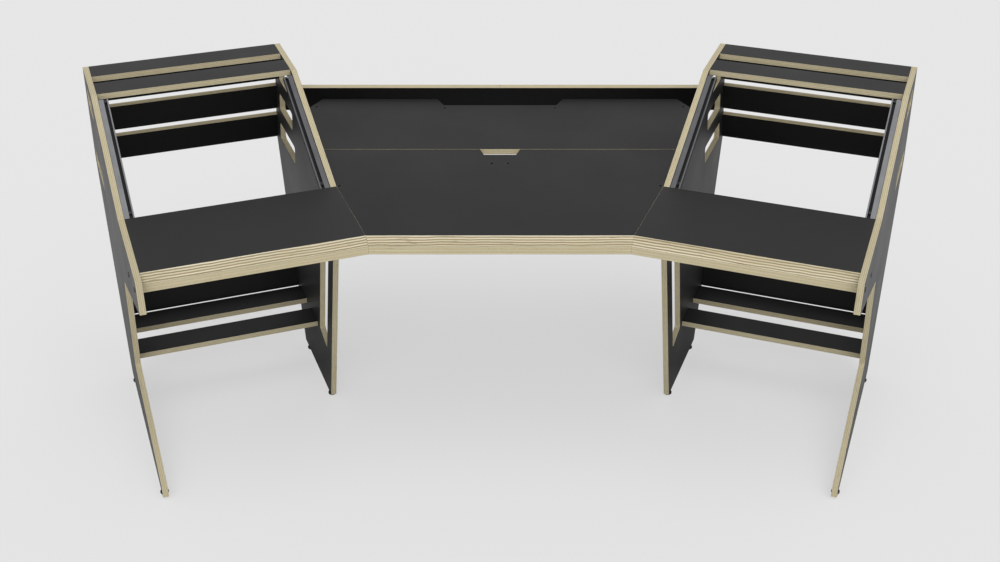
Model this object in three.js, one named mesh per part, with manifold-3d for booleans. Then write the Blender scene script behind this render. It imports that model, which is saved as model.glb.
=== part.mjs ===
// Studio desk: a centre desktop between two angled 19-inch rack wings, cut from black-faced plywood.
// Millimetres, +Z up, +X to the right, +Y to the back, front at -Y.
// The origin lies on the floor, under the middle of the desk's length and depth.
import * as THREE from "three";
import { mergeVertices } from "three/addons/utils/BufferGeometryUtils.js";
import Module from "manifold-3d";

const wasm = await Module();
wasm.setup();

// Whole desk
const deskHeight = 745; // floor to the top of the worktops
const wingAngle = THREE.MathUtils.degToRad(20); // each wing turns in towards the user
const bayWidth = 500; // clear width between the two sides of a rack
const cornerHalfWidth = 404.7; // middle of the desk to the corner where a rack front meets the desktop

// Sheets, strips and gaps
const ply = 15; // sides, slats and rails
const topThickness = 20; // worktops, desktop and lid
const stripWidth = 78.4; // every slat and rail is the same strip
const fit = 0.3; // gap where two fixed pieces meet
const overrun = 6; // how far a cutting shape runs past what it cuts

// Rack side outline, measured back from the rack's front foot and up or down from the worktop
const rackRise = 163.5;
const slopeRun = 387;
const roofRun = 213;
const rearBreakRun = 79; // from the roof's rear edge back to the break
const rearBreakDrop = 141;
const rearFootRun = 189; // from the break forward to the rear foot

// Outer side: an arm under the worktop's end, a spine and a toe
const armReach = 316.5;
const armTipHeight = 82.5;
const armRootDepth = 153;
const armRootDrop = 249;
const toeReach = 125;
const toeHeight = 35;
const throatDepth = 253.5;
const throatRise = 169;
const innerCornerRadius = 12;

// Inner side: a slim front leg, split from the spine by a tall slot
const legHeadReach = 30;
const legFootDepth = 176.8;
const legBand = 50.5;
const slotWidth = 82;
const slotHeadMargin = 110;
const slotFootMargin = 145;
const slotCornerRadius = 12;

// Windows in the rack sides, counted down from the roof
const innerWindows = [0, 1, 2];
const outerWindows = [0, 2];
const windowHeight = 54;
const windowPitch = 99;
const windowTopMargin = 40;
const windowFrontDepth = 430;
const windowRearMargin = 54;
const windowCornerRadius = 10;

// Slats and rails between the sides of a rack
const frontSlatSetback = 7.6;
const backRailCount = 3;
const backRailTopMargin = 29.1;
const backRailGap = 22.7;
const lowerRailRise = 173;
const shelfHeight = 190;
const shelfRearGap = 30.6; // from the rear slat's top edge to the lower back rail
const shelfGap = 57.6;

// Worktops
const worktopDepth = 273.9; // at the top face, before the bevel
const bevel = 19.5;
const doublerThickness = 20; // strip that thickens the front edge
const seamBattenOverlap = 39; // either side of the seam between wing and desktop

// Rack rails: a slotted extrusion up each side of the rack's sloping front
const railWidth = 25;
const railDepth = 14;
const railSlotWidth = 7.9;
const railSlotInset = 17.45; // rack side to the middle of the slot: 465.1 from slot to slot
const railLip = 2.4;
const railChannelWidth = 11.6;
const railChannelDepth = 6.2;
const railEndMargin = 14; // short of the slope's top
const railRecess = 2.5; // below the sides' sloping edges

// Levelling feet
const footDiameter = 22;
const footHeight = 8;
const footChamfer = 1.2;
const footStemDiameter = 6;
const footStemLength = 30;
const frontFootInset = 31; // from the front end of the outer side's base
const legFootInset = 19.2; // from the front end of the inner side's base
const rearFootInset = 40; // from the rear end of both bases
const footSides = 24;

// Centre desktop
const desktopDepth = 219.4; // corner line back to the lid
const notchHalfWidth = 52.5;
const notchBaseHalfWidth = 41.8;
const notchDepth = 34.1;
const blockHalfWidth = 35.5;
const blockDepth = 70;
const blockSetback = 14.5; // behind the block to the notch
const cleatWidth = 20;
const cleatHeight = 40;

// Lid over the cable bay
const lidGap = 1.5; // running gap all round
const tabDepth = 44.4;
const tabInnerBase = 157.3;
const tabOuterTip = 499.6;
const tabTaper = 19.1; // inner shoulders
const cornerTaper = 38.6; // outer ends, from the tips to the hinge line
const cableGap = 33.8; // behind the tabs, at the height of the desktop
const backboardRise = 22; // front top edge above the desktop
const backboardSetback = 11.6; // front top edge, in front of the rack sides' rear edge
const spliceHalfLength = 90;
const spliceMargin = 14; // above and below, inside the backboard's edges

// Lid hinges
const hingePlaces = [-510.6, -153.3, 153.3, 510.6];
const hingeNames = ["left_outer", "left_inner", "right_inner", "right_outer"];
const leafWidth = 25;
const leafThickness = 1.5;
const leafReach = 28; // from the pin to the free edge, both leaves
const knuckleRadius = 3.5;
const pinRadius = 1.5;
const middleKnuckleShare = 0.4;
const hingeSides = 24;
const railSetback = 37.6; // rear face of the lid rail, in front of the lid's rear edge

// What follows from these sizes
const slope = Math.atan2(rackRise, slopeRun);
const slopeLength = Math.hypot(rackRise, slopeRun);
const roofZ = deskHeight + rackRise;
const baseZ = footHeight;
const underTopZ = deskHeight - topThickness;
const underLidZ = deskHeight - ply;
const breakZ = deskHeight - rearBreakDrop;
const roofDepth = slopeRun + roofRun;
const rearBreakDepth = roofDepth + rearBreakRun;
const rearFootDepth = rearBreakDepth - rearFootRun;
const rearLean = Math.atan2(rearBreakRun, roofZ - breakZ);
const lowerLean = Math.atan2(rearFootRun, breakZ - baseZ);
const outerFace = -(bayWidth + 2 * ply); // wing frame: x = 0 is the rack side that faces the desktop
const bayOuter = outerFace + ply;
const bayInner = -ply;
const frontDepth = worktopDepth + bevel;
const seamBattenFront = -frontDepth + (stripWidth + fit) / Math.cos(wingAngle);
const backboardZ = deskHeight + backboardRise;
const backboardY = rearDepth(backboardZ) * Math.cos(wingAngle) - backboardSetback;

const QUARTER = Math.PI / 2;
const laminate = { color: 0x2b2b2d, roughness: 0.55, metalness: 0 };
const plywood = { color: 0xb9ab85, roughness: 0.75, metalness: 0 };
const aluminium = { color: 0x8e9094, roughness: 0.45, metalness: 0.8 };
const steel = { color: 0x6e7074, roughness: 0.4, metalness: 0.9 };
const rubber = { color: 0x151515, roughness: 0.8, metalness: 0 };

// A three.js geometry as a solid, and back
function solid(geometry) {
  const bare = geometry.index ? geometry.toNonIndexed() : geometry.clone();
  bare.deleteAttribute("normal");
  bare.deleteAttribute("uv");
  const merged = mergeVertices(bare, 1e-4);
  const vertProperties = merged.attributes.position.array;
  const triVerts = new Uint32Array(merged.index.array);
  return new wasm.Manifold(new wasm.Mesh({ numProp: 3, vertProperties, triVerts }));
}

function surface(body) {
  const { vertProperties, triVerts } = body.getMesh();
  const geometry = new THREE.BufferGeometry();
  geometry.setAttribute("position", new THREE.BufferAttribute(new Float32Array(vertProperties), 3));
  geometry.setIndex(new THREE.BufferAttribute(new Uint32Array(triVerts), 1));
  const faceted = geometry.toNonIndexed();
  faceted.computeVertexNormals();
  return faceted;
}

function cut(geometry, cutters) {
  return surface(cutters.reduce((body, cutter) => body.subtract(solid(cutter)), solid(geometry)));
}

function join(geometries) {
  return surface(geometries.map(solid).reduce((body, other) => body.add(other)));
}

function piece(name, geometry, look) {
  const mesh = new THREE.Mesh(geometry, new THREE.MeshStandardMaterial(look));
  mesh.name = name;
  return mesh;
}

// A closed outline with its corners rounded: points are [x, y, radius]
function outline(points, target = new THREE.Shape()) {
  const corner = (i) => new THREE.Vector2(...points[(i + points.length) % points.length]);
  points.forEach(([, , radius = 0], i) => {
    const at = corner(i);
    const before = corner(i - 1).sub(at).normalize();
    const after = corner(i + 1).sub(at).normalize();
    const reach = radius / Math.tan(before.angleTo(after) / 2);
    const enter = before.multiplyScalar(reach).add(at);
    const leave = after.multiplyScalar(reach).add(at);
    if (i === 0) target.moveTo(enter.x, enter.y);
    else target.lineTo(enter.x, enter.y);
    if (radius) target.quadraticCurveTo(at.x, at.y, leave.x, leave.y);
  });
  target.closePath();
  return target;
}

// An outline drawn in depth (Y) and height (Z), extruded along +X from x = 0
function sideways(shape, length) {
  const settings = { depth: length, bevelEnabled: false, curveSegments: 5 };
  return new THREE.ExtrudeGeometry(shape, settings).rotateY(QUARTER).rotateX(QUARTER);
}

// A box that spans x0 to x1, with its other sides centred on y and z
function bar(x0, x1, depth, height) {
  return new THREE.BoxGeometry(x1 - x0, depth, height).translate((x0 + x1) / 2, 0, 0);
}

// Depth of the rear edge at a height, above the break in that edge
function rearDepth(z) {
  return roofDepth + (roofZ - z) * Math.tan(rearLean);
}

// One rack window as a hole in a side: level sills, ends parallel to the rear edge
function windowHole(index) {
  const top = roofZ - windowTopMargin - index * windowPitch;
  const sill = top - windowHeight;
  const middle = (top + sill) / 2;
  const leanHalf = (windowHeight / 2) * Math.tan(rearLean);
  const rear = rearDepth(middle) - windowRearMargin;
  const round = windowCornerRadius;
  return outline(
    [
      [windowFrontDepth - leanHalf, top, round],
      [windowFrontDepth + leanHalf, sill, round],
      [rear + leanHalf, sill, round],
      [rear - leanHalf, top, round],
    ],
    new THREE.Path(),
  );
}

// The slot that splits the inner side's leg from its spine
function legSlot() {
  const head = new THREE.Vector2(-legHeadReach, underTopZ - fit);
  const foot = new THREE.Vector2(legFootDepth, baseZ);
  const along = foot.clone().sub(head).normalize();
  const back = new THREE.Vector2(-along.y, along.x);
  const length = foot.distanceTo(head);
  const at = (down, across) => {
    const point = head.clone().addScaledVector(along, down).addScaledVector(back, across);
    return [point.x, point.y, slotCornerRadius];
  };
  const near = legBand;
  const far = legBand + slotWidth;
  const low = length - slotFootMargin;
  return outline(
    [at(slotHeadMargin, near), at(low, near), at(low, far), at(slotHeadMargin, far)],
    new THREE.Path(),
  );
}

// Holes up into a side's base for the stems of its feet
function stemHoles(depths) {
  const depth = footStemLength + overrun;
  return depths.map((y) =>
    new THREE.CylinderGeometry(
      footStemDiameter / 2 + fit,
      footStemDiameter / 2 + fit,
      depth + overrun,
      footSides,
    )
      .rotateX(QUARTER)
      .translate(ply / 2, y, baseZ + (depth - overrun) / 2),
  );
}

const outerFeet = [-toeReach + frontFootInset, rearFootDepth - rearFootInset];
const innerFeet = [legFootDepth + legFootInset, rearFootDepth - rearFootInset];

function outerSide(side) {
  const shape = outline([
    [slopeRun, roofZ],
    [0, deskHeight],
    [-armReach, deskHeight],
    [-armReach, deskHeight - armTipHeight],
    [armRootDepth, deskHeight - armRootDrop, innerCornerRadius],
    [throatDepth, baseZ + throatRise, innerCornerRadius],
    [-toeReach, baseZ + toeHeight],
    [-toeReach, baseZ],
    [rearFootDepth, baseZ],
    [rearBreakDepth, breakZ],
    [roofDepth, roofZ],
  ]);
  shape.holes = outerWindows.map(windowHole);
  const mesh = piece(side + "_outer_side", cut(sideways(shape, ply), stemHoles(outerFeet)), laminate);
  mesh.position.x = outerFace;
  return mesh;
}

function innerSide(side) {
  const shape = outline([
    [slopeRun, roofZ],
    [0, deskHeight],
    [0, underTopZ - fit],
    [-legHeadReach, underTopZ - fit],
    [legFootDepth, baseZ],
    [rearFootDepth, baseZ],
    [rearBreakDepth, breakZ],
    [roofDepth, roofZ],
  ]);
  shape.holes = [...innerWindows.map(windowHole), legSlot()];
  const mesh = piece(side + "_inner_side", cut(sideways(shape, ply), stemHoles(innerFeet)), laminate);
  mesh.position.x = bayInner;
  return mesh;
}

// A strip across the bay, given by the middle of its section and the lean of its width
function strip(name, y, z, lean) {
  const geometry = bar(bayOuter + fit, bayInner - fit, stripWidth, ply);
  const mesh = piece(name, geometry, laminate);
  mesh.position.set(0, y, z);
  mesh.rotation.x = lean;
  return mesh;
}

function roofSlats(side) {
  const z = roofZ - ply / 2;
  const front = slopeRun + frontSlatSetback + stripWidth / 2;
  const rear = roofDepth - stripWidth / 2;
  return [
    strip(side + "_roof_slat_front", front, z, 0),
    strip(side + "_roof_slat_rear", rear, z, 0),
  ];
}

// Three rails flush with the leaning rear edge, counted down from the roof
function backRails(side) {
  return Array.from({ length: backRailCount }, (_, index) => {
    const down = backRailTopMargin + index * (stripWidth + backRailGap) + stripWidth / 2;
    const y = roofDepth + down * Math.sin(rearLean) - (ply / 2) * Math.cos(rearLean);
    const z = roofZ - down * Math.cos(rearLean) - (ply / 2) * Math.sin(rearLean);
    return strip(side + "_back_rail_" + (index + 1), y, z, QUARTER + rearLean);
  });
}

function lowerRail(side) {
  const up = lowerRailRise + stripWidth / 2;
  const y = rearFootDepth + up * Math.sin(lowerLean) - (ply / 2) * Math.cos(lowerLean);
  const z = baseZ + up * Math.cos(lowerLean) + (ply / 2) * Math.sin(lowerLean);
  return strip(side + "_lower_back_rail", y, z, QUARTER - lowerLean);
}

function shelfSlats(side) {
  const z = shelfHeight - ply / 2;
  const railFront = rearFootDepth + (shelfHeight - baseZ) * Math.tan(lowerLean) - ply / Math.cos(lowerLean);
  const rear = railFront - shelfRearGap - stripWidth / 2;
  return [
    strip(side + "_shelf_slat_front", rear - stripWidth - shelfGap, z, 0),
    strip(side + "_shelf_slat_rear", rear, z, 0),
  ];
}

// Section of a worktop with its bevelled front edge, in depth and height
function topSection(run, rear, front) {
  return outline([
    [rear, deskHeight],
    [front, deskHeight],
    [front - run, deskHeight - bevel],
    [front - run, underTopZ],
    [rear, underTopZ],
  ]);
}

function wingWorktop(side) {
  const length = -bayOuter - fit;
  const shape = topSection(bevel, -fit, -worktopDepth);
  const mesh = piece(side + "_worktop", sideways(shape, length), laminate);
  mesh.position.x = bayOuter + fit;
  return mesh;
}

function wingDoubler(side) {
  const geometry = bar(bayOuter + fit, 0, stripWidth, doublerThickness);
  const mesh = piece(side + "_worktop_doubler", geometry, laminate);
  mesh.position.set(0, -frontDepth + stripWidth / 2, underTopZ - fit - doublerThickness / 2);
  return mesh;
}

// A flat batten under the seam between a worktop and the desktop
function seamBatten(side) {
  const rear = -legHeadReach - fit;
  const length = rear - seamBattenFront;
  const geometry = bar(-seamBattenOverlap, seamBattenOverlap, length, ply);
  const mesh = piece(side + "_seam_batten", geometry, plywood);
  mesh.position.set(0, rear - length / 2, underTopZ - fit - ply / 2);
  return mesh;
}

// Side batten on the face of the rack side: it carries the desktop and, a step higher, the thinner lid
function deskCleat(side) {
  const reach = railFrontDepth() / Math.cos(wingAngle) - cleatWidth * Math.tan(wingAngle) - fit;
  const step = (desktopDepth + lidGap) / Math.cos(wingAngle);
  const rise = topThickness - ply;
  const low = bar(fit, cleatWidth, reach, cleatHeight).translate(0, reach / 2, 0);
  const high = bar(fit, cleatWidth, reach - step, cleatHeight + rise);
  high.translate(0, (reach + step) / 2, rise / 2);
  const mesh = piece(side + "_desk_cleat", join([low, high]), plywood);
  mesh.position.z = underTopZ - fit - cleatHeight / 2;
  return mesh;
}

// Rack rail: extruded section with an undercut slot, open to the front
function rackRailSection() {
  const slotHalf = railSlotWidth / 2;
  const channelHalf = railChannelWidth / 2;
  const floor = -railLip - railChannelDepth;
  return outline([
    [fit, 0],
    [fit, -railDepth],
    [railWidth, -railDepth],
    [railWidth, 0],
    [railSlotInset + slotHalf, 0],
    [railSlotInset + slotHalf, -railLip],
    [railSlotInset + channelHalf, -railLip],
    [railSlotInset + channelHalf, floor],
    [railSlotInset - channelHalf, floor],
    [railSlotInset - channelHalf, -railLip],
    [railSlotInset - slotHalf, -railLip],
    [railSlotInset - slotHalf, 0],
  ]);
}

function rackRails(side) {
  const length = slopeLength - railEndMargin - fit;
  const settings = { depth: length, bevelEnabled: false };
  const geometry = new THREE.ExtrudeGeometry(rackRailSection(), settings).rotateX(QUARTER);
  const slopeFrame = new THREE.Group();
  slopeFrame.position.z = deskHeight;
  slopeFrame.rotation.x = slope;
  const outer = piece(side + "_rack_rail_outer", geometry, aluminium);
  outer.position.set(bayOuter, slopeLength - railEndMargin, -railRecess);
  const inner = piece(side + "_rack_rail_inner", geometry, aluminium);
  inner.position.set(bayInner, slopeLength - railEndMargin, -railRecess);
  inner.scale.x = -1;
  slopeFrame.add(outer, inner);
  return slopeFrame;
}

// Levelling foot: a disc with a stem that screws up into the base
function foot(name, x, y) {
  const radius = footDiameter / 2;
  const stem = footStemDiameter / 2;
  const top = footHeight - fit;
  const profile = [
    [0, 0],
    [radius - footChamfer, 0],
    [radius, footChamfer],
    [radius, top],
    [stem, top],
    [stem, top + footStemLength],
    [0, top + footStemLength],
  ].map((point) => new THREE.Vector2(...point));
  const geometry = new THREE.LatheGeometry(profile, footSides).rotateX(QUARTER);
  const mesh = piece(name, geometry, rubber);
  mesh.position.set(x, y, 0);
  return mesh;
}

function feet(side) {
  const outerX = outerFace + ply / 2;
  const innerX = bayInner + ply / 2;
  return [
    foot(side + "_foot_outer_front", outerX, outerFeet[0]),
    foot(side + "_foot_outer_rear", outerX, outerFeet[1]),
    foot(side + "_foot_inner_front", innerX, innerFeet[0]),
    foot(side + "_foot_inner_rear", innerX, innerFeet[1]),
  ];
}

// One wing, drawn as the left one; the right one is its mirror image
function wing(side, mirror) {
  const turned = new THREE.Group();
  turned.position.x = -cornerHalfWidth;
  turned.rotation.z = wingAngle;
  turned.add(outerSide(side), innerSide(side), ...roofSlats(side), ...backRails(side));
  turned.add(lowerRail(side), ...shelfSlats(side), wingWorktop(side), wingDoubler(side));
  turned.add(seamBatten(side), deskCleat(side), rackRails(side), ...feet(side));
  const whole = new THREE.Group();
  whole.scale.x = mirror;
  whole.add(turned);
  return whole;
}

// Centre frame: y = 0 on the line between the two rack corners

function lidRear() {
  return backboardY + backboardRise * Math.tan(rearLean) - cableGap - tabDepth;
}

function railFrontDepth() {
  return lidRear() - railSetback - ply;
}

// Blocks that trim the ends of a centre piece along the rack sides, leaving a gap
function endCutters(gap) {
  const size = 4 * (bayWidth + rearBreakDepth);
  return [-1, 1].map((hand) =>
    new THREE.BoxGeometry(size, size, size)
      .translate(-size / 2 + gap, 0, deskHeight)
      .rotateZ(wingAngle)
      .translate(-cornerHalfWidth, 0, 0)
      .applyMatrix4(new THREE.Matrix4().makeScale(hand, 1, 1)),
  );
}

// The mirrored cutter is drawn by turning the first one's faces round
function trimmed(geometry, gap) {
  const [right, left] = endCutters(gap);
  right.setIndex(Array.from(right.index.array).reverse());
  return cut(geometry, [left, right]);
}

function centreSpan() {
  return 2 * (cornerHalfWidth + (lidRear() + tabDepth + cableGap + stripWidth) * Math.tan(wingAngle));
}

function desktop() {
  const span = centreSpan();
  const cosine = Math.cos(wingAngle);
  const rear = desktopDepth - lidGap / 2;
  const section = topSection(bevel * cosine, rear, -worktopDepth * cosine);
  const notch = outline([
    [-notchBaseHalfWidth, desktopDepth - notchDepth],
    [notchBaseHalfWidth, desktopDepth - notchDepth],
    [notchHalfWidth, desktopDepth],
    [notchHalfWidth, desktopDepth + overrun],
    [-notchHalfWidth, desktopDepth + overrun],
    [-notchHalfWidth, desktopDepth],
  ]);
  const settings = { depth: topThickness + 2 * overrun, bevelEnabled: false };
  const opening = new THREE.ExtrudeGeometry(notch, settings).translate(0, 0, underTopZ - overrun);
  const board = sideways(section, span).translate(-span / 2, 0, 0);
  return piece("desktop", cut(trimmed(board, fit), [opening]), laminate);
}

function desktopDoubler() {
  const half = centreSpan() / 2;
  const cosine = Math.cos(wingAngle);
  const y = -frontDepth * cosine + stripWidth / 2;
  const z = underTopZ - fit - doublerThickness / 2;
  const geometry = bar(-half, half, stripWidth, doublerThickness).translate(0, y, z);
  return piece("desktop_doubler", trimmed(geometry, fit), laminate);
}

// Stiffening block behind the two screws in front of the notch
function notchBlock() {
  const rear = desktopDepth - notchDepth - blockSetback;
  const geometry = bar(-blockHalfWidth, blockHalfWidth, blockDepth, ply);
  const mesh = piece("notch_block", geometry, plywood);
  mesh.position.set(0, rear - blockDepth / 2, underTopZ - fit - ply / 2);
  return mesh;
}

// Behind the hinge line the corners are cut away, so that the lid clears the rack sides as it opens
function lid() {
  const front = desktopDepth + lidGap / 2;
  const rear = lidRear();
  const tip = rear + tabDepth;
  const side = centreSpan() / 2;
  const corner = tabOuterTip + cornerTaper;
  const shape = outline([
    [-side, front],
    [side, front],
    [side, hingeY],
    [corner, hingeY],
    [tabOuterTip, tip],
    [tabInnerBase + tabTaper, tip],
    [tabInnerBase, rear],
    [-tabInnerBase, rear],
    [-tabInnerBase - tabTaper, tip],
    [-tabOuterTip, tip],
    [-corner, hingeY],
    [-side, hingeY],
  ]);
  const settings = { depth: ply, bevelEnabled: false };
  const board = new THREE.ExtrudeGeometry(shape, settings).translate(0, 0, underLidZ);
  return piece("lid", trimmed(board, lidGap), laminate);
}

const hingeY = lidRear() - railSetback + fit + knuckleRadius;
const hingeZ = underLidZ - fit - knuckleRadius;

// Rail on edge between the rack sides, under the rear part of the lid
function lidRail() {
  const half = centreSpan() / 2;
  const y = railFrontDepth() + ply / 2;
  const z = underLidZ - fit - stripWidth / 2;
  const geometry = bar(-half, half, ply, stripWidth).translate(0, y, z);
  return piece("lid_rail", trimmed(geometry, fit), laminate);
}

function hingeRound(radius, length) {
  return new THREE.CylinderGeometry(radius, radius, length, hingeSides).rotateZ(QUARTER);
}

// The leaf on the rail: a plate with the two end knuckles and the pin
function railLeaf(name, x) {
  const middle = leafWidth * middleKnuckleShare;
  const end = (leafWidth - middle) / 2 - fit;
  const offset = (leafWidth - end) / 2;
  const plate = new THREE.BoxGeometry(leafWidth, leafThickness, leafReach).translate(
    0,
    leafThickness / 2 - knuckleRadius,
    -leafReach / 2,
  );
  const relief = new THREE.BoxGeometry(middle + 2 * fit, leafThickness * 2, knuckleRadius + fit)
    .translate(0, leafThickness / 2 - knuckleRadius, -(knuckleRadius + fit) / 2 + fit / 2);
  const left = hingeRound(knuckleRadius, end).translate(-offset, 0, 0);
  const right = hingeRound(knuckleRadius, end).translate(offset, 0, 0);
  const pin = hingeRound(pinRadius, leafWidth);
  const geometry = join([cut(plate, [relief]), left, right, pin]);
  const mesh = piece(name, geometry, steel);
  mesh.position.set(x, hingeY, hingeZ);
  return mesh;
}

// The leaf under the lid, behind the pin: a plate with the middle knuckle, bored for the pin
function lidLeaf(name, x) {
  const middle = leafWidth * middleKnuckleShare;
  const plate = new THREE.BoxGeometry(leafWidth, leafReach, leafThickness).translate(
    0,
    leafReach / 2,
    knuckleRadius - leafThickness / 2,
  );
  const side = (leafWidth - middle) / 2;
  const relief = [-1, 1].map((hand) =>
    new THREE.BoxGeometry(side + fit, 2 * (knuckleRadius + fit), leafThickness * 2).translate(
      hand * (middle / 2 + side / 2 + fit / 2),
      0,
      knuckleRadius - leafThickness / 2,
    ),
  );
  const knuckle = hingeRound(knuckleRadius, middle);
  const bore = hingeRound(pinRadius + fit, middle + 2 * overrun);
  const geometry = cut(join([cut(plate, relief), knuckle]), [bore]);
  const mesh = piece(name, geometry, steel);
  mesh.position.set(x, hingeY, hingeZ);
  return mesh;
}

function hinges() {
  return hingePlaces.flatMap((x, index) => [
    railLeaf("rail_leaf_" + hingeNames[index], x),
    lidLeaf("lid_leaf_" + hingeNames[index], x),
  ]);
}

// Backboard behind the cable bay, in two halves that lean with the rack's rear edge

function leaning(geometry, back) {
  return geometry
    .translate(0, ply / 2 + back, -stripWidth / 2)
    .rotateX(rearLean)
    .translate(0, backboardY, backboardZ);
}

function backboards() {
  const half = centreSpan() / 2;
  const left = leaning(bar(-half, -fit / 2, ply, stripWidth), 0);
  const right = leaning(bar(fit / 2, half, ply, stripWidth), 0);
  return [
    piece("backboard_left", trimmed(left, fit), laminate),
    piece("backboard_right", trimmed(right, fit), laminate),
  ];
}

function backboardSplice() {
  const board = bar(-spliceHalfLength, spliceHalfLength, ply, stripWidth - 2 * spliceMargin);
  const geometry = leaning(board, ply + fit);
  return piece("backboard_splice", geometry, laminate);
}

// The whole desk, moved so that the origin lies under the middle of its depth
const frontmost = outerFace * Math.sin(wingAngle) - armReach * Math.cos(wingAngle);
const rearmost = rearBreakDepth * Math.cos(wingAngle);
const desk = new THREE.Group();
desk.position.y = -(frontmost + rearmost) / 2;
desk.add(wing("left", 1), wing("right", -1));
desk.add(desktop(), desktopDoubler(), notchBlock(), lid(), lidRail(), ...hinges());
desk.add(...backboards(), backboardSplice());

const studioDesk = new THREE.Group();
studioDesk.add(desk);

export default studioDesk;
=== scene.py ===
import math
import bmesh
import bpy
from mathutils import Matrix, Vector


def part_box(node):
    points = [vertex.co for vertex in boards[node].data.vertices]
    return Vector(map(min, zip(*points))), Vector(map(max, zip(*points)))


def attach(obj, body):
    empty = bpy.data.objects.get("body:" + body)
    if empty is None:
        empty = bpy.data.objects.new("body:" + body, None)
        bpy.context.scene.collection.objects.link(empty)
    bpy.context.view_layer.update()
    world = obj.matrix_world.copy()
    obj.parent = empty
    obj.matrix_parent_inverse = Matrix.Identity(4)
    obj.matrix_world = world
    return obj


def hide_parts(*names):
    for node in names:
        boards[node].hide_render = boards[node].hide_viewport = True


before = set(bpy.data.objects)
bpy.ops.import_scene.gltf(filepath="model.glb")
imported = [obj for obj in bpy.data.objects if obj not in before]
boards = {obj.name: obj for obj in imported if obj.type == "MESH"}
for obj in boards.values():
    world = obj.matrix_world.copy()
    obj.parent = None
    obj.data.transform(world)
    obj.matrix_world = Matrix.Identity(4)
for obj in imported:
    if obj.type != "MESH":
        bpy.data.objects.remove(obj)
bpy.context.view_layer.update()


# ---- Rack sides
# The four C-shaped sides are routed from 15 mm plywood with a black film on both faces.
# The cutter leaves the edges bare, so pale and brown veneers show all the way round and in the windows.
# Slats and rails are dowelled between them, and bolts draw the worktops tight against the outer ones.
wing_angle = math.radians(20)
wing_line = {
    "left": Vector((math.cos(wing_angle), math.sin(wing_angle), 0)),
    "right": Vector((math.cos(wing_angle), -math.sin(wing_angle), 0)),
}
upwards = Vector((0, 0, 1))
film_thickness = 0.0003
board_arris = 0.0005
same_place = 0.00001
noise_span = (0.3, 0.7)


def put(tree, kind, inputs=None, **settings):
    """Adds a shader node; an input is another node's output or a plain value."""
    made = tree.nodes.new("ShaderNode" + kind)
    for setting, value in settings.items():
        setattr(made, setting, value)
    for place, value in (inputs or {}).items():
        if isinstance(value, bpy.types.NodeSocket):
            tree.links.new(value, made.inputs[place])
        else:
            made.inputs[place].default_value = value
    return made


def finish_of(name):
    """An empty material with its surface shader."""
    material = bpy.data.materials.new(name)
    material.use_nodes = True
    tree = material.node_tree
    tree.nodes.clear()
    surface = put(tree, "BsdfPrincipled")
    put(tree, "OutputMaterial", {"Surface": surface.outputs["BSDF"]})
    return material, tree, surface


def shade(colour, strength=1.0):
    """A colour made darker or paler, with its alpha."""
    return [strength * part for part in colour] + [1]


def blended(tree, share, first, second):
    """A colour between two others."""
    return put(tree, "Mix", {0: share, 6: first, 7: second}, data_type="RGBA").outputs[2]


def between(tree, share, first, second):
    """A value between two others."""
    return put(tree, "Mix", {0: share, 2: first, 3: second}).outputs[0]


def ranged(tree, value, low, high, start=0.0, end=1.0):
    """A value carried from one range to another."""
    return put(tree, "MapRange", {0: value, 1: low, 2: high, 3: start, 4: end}).outputs[0]


def sum_of(tree, first, second, operation="ADD"):
    """Plain arithmetic on two values."""
    return put(tree, "Math", {0: first, 1: second}, operation=operation).outputs[0]


def noise(tree, place, scale, detail, roughness=0.5):
    """Noise of a given fineness; nearly all of it lies within the noise span."""
    inputs = {"Vector": place, "Scale": scale, "Detail": detail, "Roughness": roughness}
    return put(tree, "TexNoise", inputs).outputs["Fac"]


def measured(tree, place, way):
    """How far a place lies along a way."""
    return put(tree, "VectorMath", {0: place, 1: way}, operation="DOT_PRODUCT").outputs["Value"]


def squeezed(tree, place, ways):
    """A place multiplied along each way, so that a pattern on it is squeezed there."""
    return put(tree, "VectorMath", {0: place, 1: ways}, operation="MULTIPLY").outputs[0]


def finished(tree, surface, colour, rough, height, strength, distance):
    """Gives a surface its colour, its roughness and a bump."""
    bump = put(tree, "Bump", {"Strength": strength, "Distance": distance, "Height": height}).outputs[0]
    for socket, value in (("Base Color", colour), ("Roughness", rough), ("Normal", bump)):
        tree.links.new(value, surface.inputs[socket])


def through_board(board):
    """The direction through a board, the middle of its thickness and half its thickness."""
    broad = {}
    for face in board.data.polygons:
        way = face.normal.copy()
        if (way.z, way.y, way.x) < (0, 0, 0):
            way.negate()
        key = tuple(round(part, 2) for part in way)
        area, total = broad.get(key, (0.0, Vector()))
        broad[key] = (area + face.area, total + way * face.area)
    across = max(broad.values(), key=lambda entry: entry[0])[1].normalized()
    depths = [vertex.co.dot(across) for vertex in board.data.vertices]
    return across, (max(depths) + min(depths)) / 2, (max(depths) - min(depths)) / 2


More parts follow.
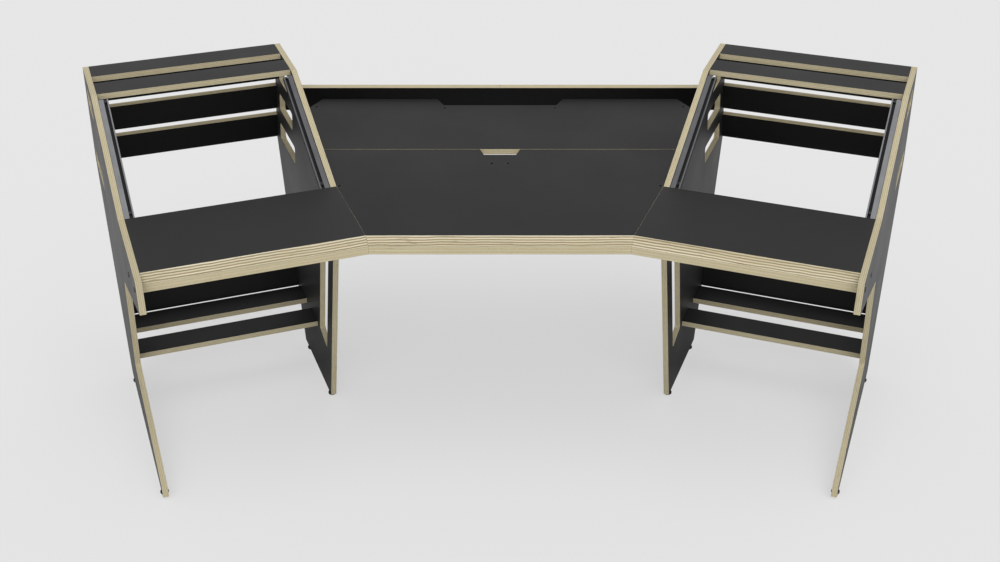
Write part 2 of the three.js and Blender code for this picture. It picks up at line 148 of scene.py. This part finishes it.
def plywood(name, board, along, layers, faced=True, contrast=0.22, bend=0.0005, lift=1.0):
    """Layered plywood, dark under its film and pale where it was cut through.

    Contrast parts the brown veneers from the pale ones, bend is how far they wave,
    and lift makes the film paler; on the wing worktops this is painted light.
    """
    across, middle, half = through_board(board)
    sideways = across.cross(along).normalized()
    along = sideways.cross(across).normalized()
    material, tree, surface = finish_of(name)
    place = put(tree, "TexCoord").outputs["Object"]
    measures = [measured(tree, place, way) for way in (along, sideways, across)]
    board_place = put(tree, "CombineXYZ", dict(enumerate(measures))).outputs[0]
    depth = sum_of(tree, measures[2], middle, "SUBTRACT")
    # A slow wave bends the veneers, and a dark glue line parts them
    wave = noise(tree, board_place, 8.0, 4.0, roughness=0.55)
    wavy = sum_of(tree, depth, ranged(tree, wave, 0.25, 0.75, -bend, bend))
    turns = sum_of(tree, wavy, math.pi * layers / (2 * half), "MULTIPLY")
    swing = sum_of(tree, sum_of(tree, turns, math.pi * (layers - 1) / 2), 0.0, "COSINE")
    lengthwise = ranged(tree, swing, -0.3, 0.3)
    glue = ranged(tree, sum_of(tree, swing, 0.0, "ABSOLUTE"), 0.0, 0.25, contrast * 0.6, 0.0)
    # Each veneer has a tone of its own, drawn anew for every board
    count = sum_of(tree, sum_of(tree, wavy, half), layers / (2 * half), "MULTIPLY")
    board_draw = 17.3 * len(bpy.data.materials)
    own = sum_of(tree, sum_of(tree, count, 0.0, "FLOOR"), board_draw)
    tone = put(tree, "TexWhiteNoise", {"W": own}, noise_dimensions="1D").outputs["Value"]
    # Fibres run along the board in one veneer and across it in the next
    fibres_along, fibres_across = (noise(tree, squeezed(tree, board_place, ways), 1.0, 4.0)
                                   for ways in ((5.0, 170.0, 520.0), (170.0, 5.0, 520.0)))
    fibre = between(tree, lengthwise, fibres_across, fibres_along)
    grain = ranged(tree, fibre, *noise_span)
    patches = noise(tree, board_place, 9.0, 3.0)
    gaps = noise(tree, squeezed(tree, board_place, (22.0, 22.0, 420.0)), 1.0, 2.0)
    # Birch in two colours, then what tints, parts, ages and breaks its veneers
    pale_birch = [part + contrast * more
                  for part, more in zip((0.615, 0.545, 0.365), (0.15, 0.155, 0.18))]
    brown_birch = [part + (low - part) * contrast
                   for part, low in zip((0.58, 0.51, 0.335), (0.29, 0.227, 0.12))]
    honey, glue_brown = (0.42, 0.345, 0.195, 1), (0.17, 0.12, 0.06, 1)
    aged, gap_brown = (0.47, 0.395, 0.22, 1), (0.13, 0.09, 0.045, 1)
    pale = blended(tree, grain, shade(pale_birch, 0.84), shade(pale_birch, 1.03))
    brown = blended(tree, grain, shade(brown_birch, 0.80), shade(brown_birch, 1.03))
    wood = blended(tree, lengthwise, brown, pale)
    wood = blended(tree, ranged(tree, tone, 0.35, 1.0, 0.0, 0.15 + contrast * 0.35), wood, honey)
    glue = sum_of(tree, glue, ranged(tree, gaps, 0.35, 0.65, 0.15, 1.2), "MULTIPLY")
    glue = sum_of(tree, glue, ranged(tree, tone, 0.0, 1.0, 0.25, 1.5), "MULTIPLY")
    wood = blended(tree, glue, wood, glue_brown)
    wood = blended(tree, ranged(tree, patches, *noise_span, 0.0, 0.22), wood, aged)
    wood = blended(tree, ranged(tree, gaps, 0.66, 0.73, 0.0, 0.25 + contrast * 0.4), wood, gap_brown)
    wood_rough = ranged(tree, fibre, 0.2, 0.8, 0.72, 0.56)
    if not faced:
        surface.inputs["Specular IOR Level"].default_value = 0.3
        finished(tree, surface, wood, wood_rough, fibre, strength=0.25, distance=0.0003)
        return material
    # The film: charcoal with a faint leathery press mark and softly clouded gloss
    clouds = noise(tree, board_place, 5.0, 4.0)
    press = noise(tree, board_place, 1100.0, 2.0)
    # The film's colours are scaled by lift, which is painted light where it is above 1.
    charcoal, grey, worn = (shade(colour, lift) for colour in (
        (0.0032, 0.0032, 0.0033), (0.0050, 0.0050, 0.0050), (0.0100, 0.0100, 0.0100)))
    film = blended(tree, ranged(tree, clouds, *noise_span), charcoal, grey)
    film = blended(tree, ranged(tree, press, 0.35, 0.75, 0.0, 0.25), film, worn)
    film_rough = sum_of(tree, ranged(tree, clouds, *noise_span, 0.43, 0.50),
                        ranged(tree, press, *noise_span, 0.0, 0.06))
    covered = ranged(tree, sum_of(tree, depth, 0.0, "ABSOLUTE"),
                     half - film_thickness, half - film_thickness * 0.6)
    colour = blended(tree, covered, wood, film)
    rough = between(tree, covered, wood_rough, film_rough)
    height = between(tree, covered, fibre, press)
    for socket, value in (("Specular IOR Level", 0.2), ("Sheen Weight", 0.035), ("Sheen Roughness", 0.3)):
        surface.inputs[socket].default_value = value
    finished(tree, surface, colour, rough, height, strength=0.18, distance=0.0002)
    return material


def flat_faces(name, flattest):
    """Shades flat what meets at more than a given angle, and forgets what the import said."""
    group = bpy.data.node_groups.new(name, "GeometryNodeTree")
    group.interface.new_socket("Geometry", in_out="INPUT", socket_type="NodeSocketGeometry")
    group.interface.new_socket("Geometry", in_out="OUTPUT", socket_type="NodeSocketGeometry")
    start, end = group.nodes.new("NodeGroupInput"), group.nodes.new("NodeGroupOutput")
    plain = group.nodes.new("GeometryNodeRemoveAttribute")
    plain.inputs["Name"].default_value = "custom_normal"
    faces, edges = (group.nodes.new("GeometryNodeSetShadeSmooth") for _ in range(2))
    faces.inputs["Shade Smooth"].default_value = True
    edges.domain = "EDGE"
    edges.inputs["Shade Smooth"].default_value = False
    angle = group.nodes.new("GeometryNodeInputMeshEdgeAngle")
    steep = group.nodes.new("FunctionNodeCompare")
    steep.operation = "GREATER_THAN"
    steep.inputs[1].default_value = flattest
    for out, into in ((start.outputs[0], plain.inputs[0]), (plain.outputs[0], faces.inputs[0]),
                      (faces.outputs[0], edges.inputs[0]), (angle.outputs[0], steep.inputs[0]),
                      (steep.outputs[0], edges.inputs["Selection"]), (edges.outputs[0], end.inputs[0])):
        group.links.new(out, into)
    return group


board_faces = flat_faces("board_faces", math.radians(2))


def joined(piece):
    """Merges a node's loose triangles where their corners meet."""
    piece.modifiers.new("joined_corners", "WELD").merge_threshold = same_place


def eased(board, width):
    """Breaks a board's sharp arrises as sandpaper does, with its shape kept."""
    joined(board)
    arris = board.modifiers.new("eased_arris", "BEVEL")
    arris.width = width
    arris.segments = 1
    arris.limit_method = "ANGLE"
    arris.angle_limit = math.radians(35)
    arris.use_clamp_overlap = True
    board.modifiers.new("flat_faces", "NODES").node_group = board_faces


def dress(board, material):
    """Puts one finish on the whole of a piece."""
    board.data.materials.clear()
    board.data.materials.append(material)


for hand in ("left", "right"):
    for place in ("outer_side", "inner_side"):
        board = boards[f"{hand}_{place}"]
        dress(board, plywood(f"{hand}_{place}_plywood", board, upwards, 7))
        eased(board, board_arris)


# ---- Worktop bolts
# Two blackened steel bolts go through each outer side and draw the worktop's end tight against it.
# Their low domed heads are turned, with a hexagon socket, and stand just proud of the film.
desk_height = 745  # this and the next two are in millimetres
outer_face = -530
bolt_places = (("front", -275, 39), ("rear", -128, 80))
corner_aside, corner_back = 0.4047, -0.07968


def wing_way(hand, across, back, up=0.0):
    """A direction in a rack's own terms: across from the desktop's end, back and up."""
    inwards = 1 if hand == "left" else -1
    return Vector((inwards * (across * math.cos(wing_angle) - back * math.sin(wing_angle)),
                   across * math.sin(wing_angle) + back * math.cos(wing_angle), up))


def wing_place(hand, across, back, up):
    """A place in metres, from millimetres across, back and up from the foot of a rack's front corner."""
    corner = Vector((-corner_aside if hand == "left" else corner_aside, corner_back, 0))
    return corner + wing_way(hand, across, back, up) / 1000


def steel(name, dark, light, polish, metallic=0.9, specular=0.5):
    """Turned steel with fine marks and cloudy plating; where it isn't metallic, hard glue, or a near-black
    screw head whose dark is painted shade.
    """
    material, tree, surface = finish_of(name)
    place = put(tree, "TexCoord").outputs["Object"]
    clouds = noise(tree, place, 350.0, 3.0)
    marks = noise(tree, place, 2600.0, 2.0)
    colour = blended(tree, ranged(tree, clouds, *noise_span), dark, light)
    rough = sum_of(tree, ranged(tree, clouds, *noise_span, polish, polish + 0.12),
                   ranged(tree, marks, *noise_span, 0.0, 0.05))
    surface.inputs["Metallic"].default_value = metallic
    surface.inputs["Specular IOR Level"].default_value = specular
    finished(tree, surface, colour, rough, marks, strength=0.15, distance=0.00005)
    return material


def only(kind, parts):
    """The corners, edges or faces among what an operator made."""
    return [part for part in parts if isinstance(part, kind)]


def socket_head(radius, height, socket, rounding):
    """A turned head with a hexagon socket sunk in its top."""
    wall, socket_depth = 0.25 * radius, 0.7 * height
    head = bmesh.new()
    bmesh.ops.create_circle(head, cap_ends=True, segments=24, radius=radius)
    crown = only(bmesh.types.BMVert, bmesh.ops.extrude_face_region(head, geom=head.faces[:])["geom"])
    bmesh.ops.translate(head, verts=crown, vec=(0, 0, height))
    rim = [edge for edge in head.edges if edge.verts[0] in crown and edge.verts[1] in crown]
    bmesh.ops.bevel(head, geom=rim, offset=rounding, offset_type="OFFSET", segments=3, profile=0.5,
                    affect="EDGES", material=-1)
    top = max(head.faces, key=lambda face: face.calc_center_median().z)
    bmesh.ops.inset_region(head, faces=[top], thickness=wall)
    for corner in top.verts:
        angle = math.atan2(corner.co.y, corner.co.x)
        reach = socket / math.cos(angle % (math.pi / 3) - math.pi / 6)
        corner.co.x, corner.co.y = reach * math.cos(angle), reach * math.sin(angle)
    sunk = bmesh.ops.extrude_discrete_faces(head, faces=[top])["faces"][0]
    bmesh.ops.translate(head, verts=sunk.verts[:], vec=(0, 0, -socket_depth))
    bmesh.ops.recalc_face_normals(head, faces=head.faces[:])
    return head


def stood_on(shape, place, axis):
    """Turns a shape drawn upright to an axis and puts it in its place."""
    turn = axis.normalized().to_track_quat("Z", "Y").to_matrix().to_4x4()
    bmesh.ops.transform(shape, matrix=Matrix.Translation(place) @ turn, verts=shape.verts[:])
    return shape


def added(name, shape, body, material):
    """Makes a new piece of a shape and lets it move with a body."""
    mesh = bpy.data.meshes.new(name)
    shape.to_mesh(mesh)
    shape.free()
    piece = bpy.data.objects.new(name, mesh)
    bpy.context.scene.collection.objects.link(piece)
    mesh.materials.append(material)
    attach(piece, body)
    return piece


burnished_steel = steel("burnished_steel", (0.07, 0.07, 0.072, 1), (0.12, 0.12, 0.123, 1), polish=0.4)
for hand in ("left", "right"):
    for place, back, drop in bolt_places:
        head = stood_on(socket_head(radius=0.0062, height=0.0026, socket=0.0022, rounding=0.0012),
                        wing_place(hand, outer_face, back, desk_height - drop), wing_way(hand, -1, 0))
        added(f"{hand}_worktop_bolt_{place}", head, "frame", burnished_steel)


# ---- Slats and rails of each rack
# Strips of the same black-faced plywood close the roof, the leaning back and the shelf near the floor.
# They are all sawn to one width and dowelled into the sides, with bare edges to the front and rear.
for hand in ("left", "right"):
    for place in ("roof_slat_front", "roof_slat_rear", "back_rail_1", "back_rail_2", "back_rail_3",
                  "lower_back_rail", "shelf_slat_front", "shelf_slat_rear"):
        board = boards[f"{hand}_{place}"]
        dress(board, plywood(f"{hand}_{place}_plywood", board, wing_line[hand], 7))
        eased(board, board_arris)


# ---- Wing worktops
# Each wing has a 20 mm faced plywood top whose front edge is planed to a long bevel, which shows the veneers.
# A second strip glued under the edge doubles its thickness, and bare birch battens carry the joints.
top_veneers = {"layers": 9, "contrast": 0.95, "bend": 0.0018}
doubler_veneers = {"layers": 5, "contrast": 0.06, "bend": 0.0008}
glue_colours = {"layers": 3, "contrast": 0.05, "faced": False}
# Painted light: the wing worktops and doublers get a film twice as pale as the same film on the desktop.
wing_film_painted_light = 2.0
top_arris = 0.0003
batten_arris = 0.0006
glue_thickness = 0.00028


def glue_line(name, board, way, material):
    """The film of cured glue on the faces of a board that look one way."""
    film = bmesh.new()
    film.from_mesh(board.data)
    bmesh.ops.remove_doubles(film, verts=film.verts[:], dist=same_place)
    others = [face for face in film.faces if face.normal.dot(way) < 0.99]
    bmesh.ops.delete(film, geom=others, context="FACES")
    bmesh.ops.delete(film, geom=[corner for corner in film.verts if not corner.link_faces], context="VERTS")
    raised = only(bmesh.types.BMVert, bmesh.ops.extrude_face_region(film, geom=film.faces[:])["geom"])
    bmesh.ops.translate(film, verts=raised, vec=way * glue_thickness)
    bmesh.ops.recalc_face_normals(film, faces=film.faces[:])
    added(name, film, "frame", material)


for hand in ("left", "right"):
    for place, veneers in (("worktop", top_veneers), ("worktop_doubler", doubler_veneers)):
        board = boards[f"{hand}_{place}"]
        dress(board, plywood(f"{hand}_{place}_plywood", board, wing_line[hand], lift=wing_film_painted_light,
                             **veneers))
        eased(board, top_arris)
    doubler = boards[f"{hand}_worktop_doubler"]
    glue_line(f"{hand}_worktop_glue_line", doubler, upwards,
              plywood(f"{hand}_worktop_glue", doubler, wing_line[hand], **glue_colours))
    for place, along in (("seam_batten", wing_line[hand]), ("desk_cleat", upwards.cross(wing_line[hand]))):
        board = boards[f"{hand}_{place}"]
        dress(board, plywood(f"{hand}_{place}_birch", board, along, 9, faced=False))
        eased(board, batten_arris)


# ---- Centre desktop
# The middle top is one plywood sheet with a planed bevel, a doubler glued under it and a notch for cables.
# Two countersunk steel screws in front of the notch hold a birch block underneath, and one near each front
# corner holds the top to its cleat.
centre_line = Vector((1, 0, 0))
top_level = desk_height / 1000
desktop_screws = (("notch_screw", 0.0205, 0.05292), ("desk_screw", 0.397, -0.07808))
for place, veneers in (("desktop", top_veneers), ("desktop_doubler", doubler_veneers)):
    board = boards[place]
    dress(board, plywood(f"{place}_plywood", board, centre_line, **veneers))
    eased(board, top_arris)
glue_line("desktop_glue_line", boards["desktop_doubler"], upwards,
          plywood("desktop_glue", boards["desktop_doubler"], centre_line, **glue_colours))
dress(boards["notch_block"], plywood("notch_block_birch", boards["notch_block"], centre_line, 9, faced=False))
eased(boards["notch_block"], batten_arris)


def countersink(radius, width, height):
    """The sloping rim of a countersunk screw, a little proud of the film."""
    rim = bmesh.new()
    bmesh.ops.create_circle(rim, cap_ends=False, segments=32, radius=radius)
    steps = (((radius - 0.3 * width) / radius, height), ((radius - width) / radius, 0.3 * height))
    ring = rim.edges[:]
    for share, level in steps:
        grown = bmesh.ops.extrude_edge_only(rim, edges=ring)["geom"]
        ring = only(bmesh.types.BMEdge, grown)
        for corner in only(bmesh.types.BMVert, grown):
            across = radius * share / corner.co.xy.length
            corner.co = (corner.co.x * across, corner.co.y * across, level)
    bmesh.ops.recalc_face_normals(rim, faces=rim.faces[:])
    if sum(face.normal.z for face in rim.faces) < 0:
        bmesh.ops.reverse_faces(rim, faces=rim.faces[:])
    return rim


# Painted shade: the countersunk heads are near black and almost glossless, standing in for the shade of their
# deep countersinks.
painted_shade_steel = steel("painted_shade_steel", (0.003, 0.003, 0.0032, 1), (0.007, 0.007, 0.0074, 1), polish=0.6,
                    metallic=0.0, specular=0.06)
worn_steel = steel("worn_steel", (0.08, 0.079, 0.076, 1), (0.15, 0.148, 0.143, 1), polish=0.42)


def countersunk_screw(name, aside, back, body):
    """A screw level with the film, its head near black and almost glossless as painted shade, with its rim
    worn to grey.
    """
    place = Vector((aside, back, top_level))
    rim = stood_on(countersink(radius=0.0062, width=0.0009, height=0.00022), place, upwards)
    added(f"{name}_rim", rim, body, worn_steel)
    head = socket_head(radius=0.0053, height=0.0002, socket=0.0022, rounding=0.00006)
    added(name, stood_on(head, place, upwards), body, painted_shade_steel)


for hand, way in (("left", -1), ("right", 1)):
    for screw, aside, back in desktop_screws:
        countersunk_screw(f"{screw}_{hand}", way * aside, back, "frame")


# ---- Lid over the cable bay
# A faced plywood lid lies level with the desktop and lifts on four steel hinges screwed to a rail below it.
# Its two tabs reach back under the backboard, with tapered shoulders between them, and one countersunk
# screw goes through it into each hinge.
hinge_places = (("left_outer", -0.5106, 0.42192), ("left_inner", -0.1533, 0.41392),
                ("right_inner", 0.1533, 0.41392), ("right_outer", 0.5106, 0.42192))
for place in ("lid", "lid_rail"):
    board = boards[place]
    dress(board, plywood(f"{place}_plywood", board, centre_line, 7))
    eased(board, top_arris)
for place, aside, back in hinge_places:
    countersunk_screw(f"lid_screw_{place}", aside, back, "lid")


# ---- Backboard
# Two leaning strips meet in the middle and close the desk behind the lid, with a splice glued on behind.
# They are the same black-faced plywood, with a bare top edge, and dark glue fills the joint.
for place in ("backboard_left", "backboard_right", "backboard_splice"):
    board = boards[place]
    dress(board, plywood(f"{place}_plywood", board, centre_line, 7))
    eased(board, board_arris)
glue_line("backboard_glue_line", boards["backboard_left"], centre_line,
          steel("dark_glue", (0.010, 0.010, 0.009, 1), (0.030, 0.028, 0.025, 1), polish=0.6,
                metallic=0.0, specular=0.2))


# ---- Rack rails
# A grey anodised aluminium extrusion with an undercut slot runs up each side of the sloping rack front.
# It is drawn through a die, so fine lines follow its length, and a blackened steel socket screw near each
# end holds it.
rack_rise, slope_run = 163.5, 387
rack_slope = math.atan2(rack_rise, slope_run)
# The inner rails get 0.55 of the outer rails' grey as painted shade on the same extrusion.
slot_lines = (("outer", -497.55, 1.0), ("inner", -32.45, 0.55))
screw_runs = (("low", 22), ("high", 402))
slot_floor = 0.0111  # how far the slot's floor lies below the sides' sloping edges
rail_arris = 0.0004
rail_greys = ((0.21, 0.212, 0.222), (0.28, 0.283, 0.295))
# Painted shade: the near-black colour that fills the rails' slots below their front face.
painted_slot_shade = (0.035, 0.035, 0.038, 1)
slot_shade_start, slot_shade_end = 0.0012, 0.0024


def drawn_metal(name, piece, along, dark, light, polish, face=None):
    """Metal with drawing lines along the piece, and painted shade that darkens it to near black where it lies
    deeper than its front face.
    """
    aside = along.orthogonal().normalized()
    material, tree, surface = finish_of(name)
    place = put(tree, "TexCoord").outputs["Object"]
    measures = [measured(tree, place, way) for way in (along, aside, along.cross(aside))]
    drawn_place = put(tree, "CombineXYZ", dict(enumerate(measures))).outputs[0]
    lines = noise(tree, squeezed(tree, drawn_place, (14.0, 1500.0, 1500.0)), 1.0, 3.0)
    clouds = noise(tree, drawn_place, 30.0, 3.0)
    both = sum_of(tree, sum_of(tree, lines, 0.6, "MULTIPLY"), sum_of(tree, clouds, 0.4, "MULTIPLY"))
    colour = blended(tree, ranged(tree, both, 0.35, 0.65), dark, light)
    rough = ranged(tree, both, *noise_span, polish, polish + 0.14)
    if face is not None:
        front = max(vertex.co.dot(face) for vertex in piece.data.vertices)
        # Painted shade: the slot darkens to near black from a little below the rail's front face.
        slot_shade_share = ranged(tree, measured(tree, place, face), front - slot_shade_start, front - slot_shade_end)
        colour = blended(tree, slot_shade_share, colour, painted_slot_shade)
        rough = sum_of(tree, rough, sum_of(tree, slot_shade_share, 0.25, "MULTIPLY"))
    surface.inputs["Metallic"].default_value = 0.85
    finished(tree, surface, colour, rough, lines, strength=0.15, distance=0.0001)
    return material


for hand in ("left", "right"):
    outwards = wing_way(hand, 0, -math.sin(rack_slope), math.cos(rack_slope))
    uphill = wing_way(hand, 0, math.cos(rack_slope), math.sin(rack_slope))
    for place, slot_line, tone in slot_lines:
        rail = boards[f"{hand}_rack_rail_{place}"]
        # Painted shade: the rail's grey is scaled by its tone, which darkens the inner rails.
        dark, light = (shade(grey, tone) for grey in rail_greys)
        dress(rail, drawn_metal(f"{hand}_rack_rail_{place}_aluminium", rail, uphill, dark, light,
                                polish=0.36, face=outwards))
        eased(rail, rail_arris)
        for end, run in screw_runs:
            foot = wing_place(hand, slot_line, 0, desk_height) + uphill * run / 1000 - outwards * slot_floor
            head = stood_on(socket_head(radius=0.0038, height=0.0055, socket=0.0019, rounding=0.0006),
                            foot, outwards)
            added(f"{hand}_rail_screw_{place}_{end}", head, "frame", burnished_steel)


# ---- Hinges under the lid
# Four butt hinges of zinc-plated steel sit under the lid, each with two leaves rolled round a pin.
# A thin nut on each lid screw clamps the lid's leaf, and two small screws hold the other leaf to the rail.
turned_faces = flat_faces("turned_faces", math.radians(30))
zinc_steel = steel("zinc_steel", (0.46, 0.455, 0.43, 1), (0.62, 0.61, 0.57, 1), polish=0.28)
leaf_thickness = 0.0015
leaf_screw_shift = 0.007
leaf_screw_rise = 0.0075


def hexagon_nut(radius, height, bore):
    """A plain nut with softened corners, standing on its own ground."""
    softening, wall, bore_depth = 0.0003, (radius - bore) * 0.7, 0.5 * height
    nut = bmesh.new()
    bmesh.ops.create_circle(nut, cap_ends=True, segments=6, radius=radius)
    raised = only(bmesh.types.BMVert, bmesh.ops.extrude_face_region(nut, geom=nut.faces[:])["geom"])
    bmesh.ops.translate(nut, verts=raised, vec=(0, 0, height))
    bmesh.ops.bevel(nut, geom=nut.edges[:], offset=softening, offset_type="OFFSET", segments=2, profile=0.5,
                    affect="EDGES", material=-1)
    top = max(nut.faces, key=lambda face: face.calc_center_median().z)
    bmesh.ops.inset_region(nut, faces=[top], thickness=wall)
    sunk = bmesh.ops.extrude_discrete_faces(nut, faces=[top])["faces"][0]
    bmesh.ops.translate(nut, verts=sunk.verts[:], vec=(0, 0, -bore_depth))
    bmesh.ops.recalc_face_normals(nut, faces=nut.faces[:])
    return nut


for place, aside, back in hinge_places:
    for leaf in ("rail_leaf", "lid_leaf"):
        plate = boards[f"{leaf}_{place}"]
        dress(plate, drawn_metal(f"{leaf}_{place}_steel", plate, centre_line, (0.50, 0.49, 0.46, 1),
                                 (0.66, 0.65, 0.61, 1), polish=0.3))
        joined(plate)
        plate.modifiers.new("turned_faces", "NODES").node_group = turned_faces
    under_leaf = Vector((aside, back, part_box(f"lid_leaf_{place}")[1][2] - leaf_thickness))
    nut = stood_on(hexagon_nut(radius=0.0032, height=0.0018, bore=0.0016), under_leaf, -upwards)
    added(f"lid_nut_{place}", nut, "lid", zinc_steel)
    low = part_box(f"rail_leaf_{place}")[0]
    for end, shift in (("left", -leaf_screw_shift), ("right", leaf_screw_shift)):
        spot = Vector((aside + shift, low[1] + leaf_thickness, low[2] + leaf_screw_rise))
        head = stood_on(socket_head(radius=0.0028, height=0.0009, socket=0.0011, rounding=0.0003),
                        spot, Vector((0, 1, 0)))
        added(f"rail_leaf_screw_{place}_{end}", head, "frame", zinc_steel)


# ---- Levelling feet
# Eight glides moulded in black plastic, with a fluted rim, are turned by hand to level the desk.
# Each is moulded round a zinc-plated steel stud, which screws up into the base of the side.
chamfer = 0.0012
flute_depth = 0.0004
thread_depth = 0.00045
spin_steps = 20


def moulded_plastic(name, dark, light):
    """Moulded plastic with a fine spark-eroded grain."""
    material, tree, surface = finish_of(name)
    place = put(tree, "TexCoord").outputs["Object"]
    grain = noise(tree, place, 1800.0, 2.0)
    clouds = noise(tree, place, 60.0, 2.0)
    colour = blended(tree, ranged(tree, clouds, *noise_span), dark, light)
    rough = ranged(tree, grain, *noise_span, 0.42, 0.58)
    finished(tree, surface, colour, rough, grain, strength=0.2, distance=0.0001)
    return material


def fluted_pad(radius, height, flutes):
    """A round pad with a chamfered sole, a fluted rim and a raised collar on top."""
    pad = bmesh.new()
    bmesh.ops.create_circle(pad, cap_ends=True, segments=4 * flutes, radius=radius - chamfer)
    skin = pad.faces[:]
    outline = ((chamfer, 1.0), (height - 0.0021, 1.0), (height - chamfer, 0.95), (height - chamfer, 0.5),
               (height, 0.45))
    for level, share in outline:
        raised = bmesh.ops.extrude_face_region(pad, geom=skin)["geom"]
        skin = only(bmesh.types.BMFace, raised)
        for corner in only(bmesh.types.BMVert, raised):
            turn = math.atan2(corner.co.y, corner.co.x)
            wave = flute_depth * (1 - math.cos(turn * flutes)) / 2 if share == 1.0 else 0.0
            reach = radius * share - wave
            corner.co = (reach * math.cos(turn), reach * math.sin(turn), level)
    bmesh.ops.recalc_face_normals(pad, faces=pad.faces[:])
    return pad


def threaded_stud(radius, low, high, pitch):
    """A stud with a true screw thread, spun from the notched line of its side."""
    stud = bmesh.new()
    turns = round((high - low) / pitch) + 3
    line = [stud.verts.new((radius - thread_depth * (step % 2), 0, low + (step / 2 - 2) * pitch))
            for step in range(2 * turns)]
    edges = [stud.edges.new(pair) for pair in zip(line, line[1:])]
    bmesh.ops.spin(stud, geom=line + edges, cent=(0, 0, 0), axis=(0, 0, 1), dvec=(0, 0, pitch / spin_steps),
                   angle=2 * math.pi, steps=spin_steps, use_merge=False, use_duplicate=False)
    bmesh.ops.remove_doubles(stud, verts=stud.verts[:], dist=same_place)
    for level, way in ((low, -1), (high, 1)):
        bmesh.ops.bisect_plane(stud, geom=stud.verts[:] + stud.edges[:] + stud.faces[:],
                               plane_co=(0, 0, level), plane_no=(0, 0, way), clear_outer=True)
        mouth = [edge for edge in stud.edges
                 if edge.is_boundary and all(abs(end.co.z - level) < same_place for end in edge.verts)]
        bmesh.ops.holes_fill(stud, edges=mouth)
    bmesh.ops.recalc_face_normals(stud, faces=stud.faces[:])
    return stud


glide_black = moulded_plastic("glide_black", (0.016, 0.016, 0.017, 1), (0.026, 0.026, 0.027, 1))
for hand in ("left", "right"):
    for place in ("outer_front", "outer_rear", "inner_front", "inner_rear"):
        name = f"{hand}_foot_{place}"
        low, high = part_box(name)
        foot = Vector(((low[0] + high[0]) / 2, (low[1] + high[1]) / 2, 0))
        pad = stood_on(fluted_pad(radius=0.0109, height=0.0076, flutes=20), foot, upwards)
        glide = added(f"{name}_glide", pad, name, glide_black)
        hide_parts(name)
        stud = stood_on(threaded_stud(radius=0.00295, low=0.0074, high=0.0372, pitch=0.001), foot, upwards)
        added(f"{name}_stud", stud, name, zinc_steel)


# ---- Floor, light and camera
# A plain pale studio floor runs out of sight on every side, under a broad soft light from above and a
# broader one from the front, which no reflection shows.
# The camera stands in front of the desk and looks down on it by 30 degrees.
floor_half_width = 30
floor_glow = 0.66
floor_shape = bmesh.new()
bmesh.ops.create_grid(floor_shape, x_segments=1, y_segments=1, size=floor_half_width)
floor_mesh = bpy.data.meshes.new("studio_floor")
floor_shape.to_mesh(floor_mesh)
floor_shape.free()
floor = bpy.data.objects.new("studio_floor", floor_mesh)
bpy.context.scene.collection.objects.link(floor)
floor_paint, tree, surface = finish_of("studio_floor_paint")
patches = noise(tree, put(tree, "TexCoord").outputs["Object"], 0.6, 2.0)
pale_floor = blended(tree, patches, (0.81, 0.81, 0.81, 1), (0.82, 0.82, 0.82, 1))
tree.links.new(pale_floor, surface.inputs["Base Color"])
surface.inputs["Roughness"].default_value = 0.9
surface.inputs["Specular IOR Level"].default_value = 0.0
rays = put(tree, "LightPath")
seen = sum_of(tree, rays.outputs["Is Camera Ray"], rays.outputs["Is Transmission Ray"], "MAXIMUM")
glow = put(tree, "Emission", {"Color": pale_floor, "Strength": 1.0})
lifted = put(tree, "MixShader", {0: sum_of(tree, seen, floor_glow, "MULTIPLY"), 1: surface.outputs[0],
                                 2: glow.outputs[0]})
put(tree, "OutputMaterial", {"Surface": lifted.outputs[0]}, is_active_output=True)
dress(floor, floor_paint)

sky = bpy.data.worlds.new("studio_air")
sky.use_nodes = True
tree = sky.node_tree
tree.nodes.clear()
rays = put(tree, "LightPath")
seen = sum_of(tree, sum_of(tree, rays.outputs["Is Camera Ray"], rays.outputs["Is Glossy Ray"], "MAXIMUM"),
              rays.outputs["Is Transmission Ray"], "MAXIMUM")
backdrop_colour = blended(tree, rays.outputs["Is Glossy Ray"], (0.80, 0.80, 0.80, 1), (0.88, 0.88, 0.88, 1))
ambient = put(tree, "Background", {"Color": (1, 1, 1, 1), "Strength": 0.5})
backdrop = put(tree, "Background", {"Color": backdrop_colour, "Strength": 1.0})
mixed = put(tree, "MixShader", {0: seen, 1: ambient.outputs[0], 2: backdrop.outputs[0]})
put(tree, "OutputWorld", {"Surface": mixed.outputs[0]})
bpy.context.scene.world = sky


def softbox(name, strength, spread, tilt, roll):
    """A soft light from far off; its spread and its turns are in degrees."""
    light = bpy.data.lights.new(name, "SUN")
    light.energy = strength
    light.angle = math.radians(spread)
    stand = bpy.data.objects.new(name, light)
    stand.rotation_euler = (math.radians(tilt), math.radians(roll), 0)
    bpy.context.scene.collection.objects.link(stand)
    return stand


softbox("overhead_softbox", strength=0.95, spread=55, tilt=27, roll=5)
softbox("front_softbox", strength=0.95, spread=100, tilt=58, roll=0).visible_glossy = False

lens = bpy.data.cameras.new("studio_camera")
lens.lens = 50
lens.sensor_width = 36
lens.sensor_fit = "HORIZONTAL"
lens.clip_end = 200
camera = bpy.data.objects.new("studio_camera", lens)
camera.location = (0, -3.17304, 2.26025)
camera.rotation_euler = (math.radians(60), 0, 0)
bpy.context.scene.collection.objects.link(camera)
bpy.context.scene.camera = camera
bpy.context.scene.view_settings.view_transform = "Standard"
